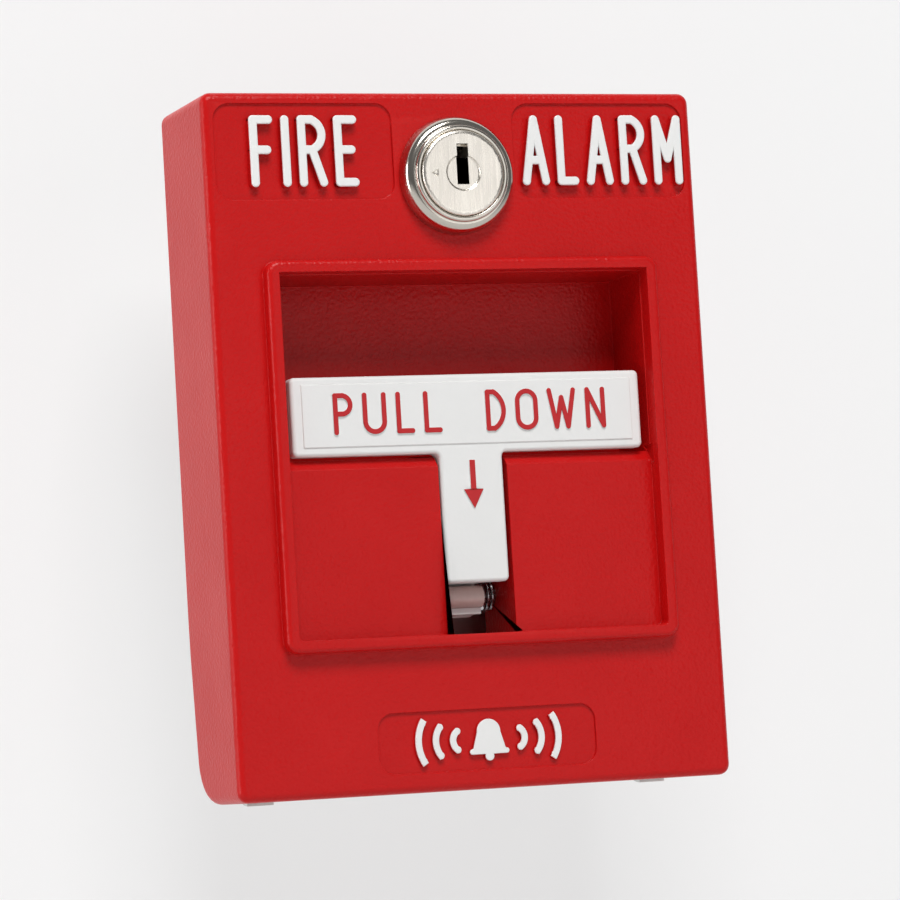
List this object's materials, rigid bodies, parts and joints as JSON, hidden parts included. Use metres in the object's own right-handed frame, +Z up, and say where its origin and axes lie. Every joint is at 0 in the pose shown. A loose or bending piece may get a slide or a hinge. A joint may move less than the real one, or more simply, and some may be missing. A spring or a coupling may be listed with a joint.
{
  "type": "manual fire alarm station",
  "caption": "Wall-mounted manual fire alarm station with a hinged cover, a T-shaped pull lever in a framed recess and a key lock.",
  "frame": {"origin": "centre of the back of the station, on the wall", "axes": "+X to the viewer's right, +Y into the wall, +Z up; the front faces -Y"},
  "size_m": [0.0952, 0.0299, 0.1276],
  "materials": {
    "red_cover": "moulded red plastic with a fine texture, white printed letter tops",
    "white_lever": "smooth white plastic, red printed letter tops",
    "chrome": "polished nickel plate",
    "steel": "zinc-plated steel",
    "zinc_plate": "zinc-plated steel sheet",
    "spring_steel": "drawn spring wire",
    "brass": "tinned brass",
    "black_plastic": "black moulding",
    "red_plastic": "red moulding",
    "clear_plastic": "frosted translucent plastic",
    "red_wire": "wire insulation",
    "black_wire": "wire insulation"
  },
  "bodies": {
    "base": {"base_plate": "zinc_plate", "hinge_pins": "steel", "switch_case": "black_plastic", "switch_screws": "steel", "switch_tabs": "brass", "terminal_block": "black_plastic", "terminal_screws": "steel", "terminal_clamps": "steel", "common_lead": "red_wire", "alarm_lead": "black_wire"},
    "cover": {"front_cover": "red_cover", "lock_barrel": "chrome", "lock_nut": "steel", "lever_shaft": "steel", "shaft_clips": "steel", "lever_spring": "spring_steel"},
    "lever": {"pull_lever": "white_lever", "break_rod": "clear_plastic"},
    "lock": {"lock_plug": "chrome", "lock_cam": "steel", "cam_screw": "steel"},
    "plunger": {"switch_plunger": "red_plastic"}
  },
  "joints": [
    {"name": "cover_hinge", "type": "hinge", "parent": "base", "child": "cover", "pos_m": [0, -0.009, -0.0545], "axis": [1, 0, 0], "range_deg": [0, 90]},
    {"name": "lever_pull", "type": "hinge", "parent": "cover", "child": "lever", "pos_m": [0, -0.0135, -0.028], "axis": [1, 0, 0], "range_deg": [0, 55], "stiffness_Nm_per_rad": 0.02, "springref_deg": -17.19},
    {"name": "lock_turn", "type": "hinge", "parent": "cover", "child": "lock", "pos_m": [0, -0.0254, 0.048], "axis": [0, -1, 0], "range_deg": [0, 90]},
    {"name": "plunger_travel", "type": "slide", "parent": "base", "child": "plunger", "axis": [0, 0, 1], "range_m": [0, 0.0019]}
  ],
  "couplings": [
    {"joint": "plunger_travel", "follows": "lever_pull", "m_per_rad": 0.001975}
  ]
}
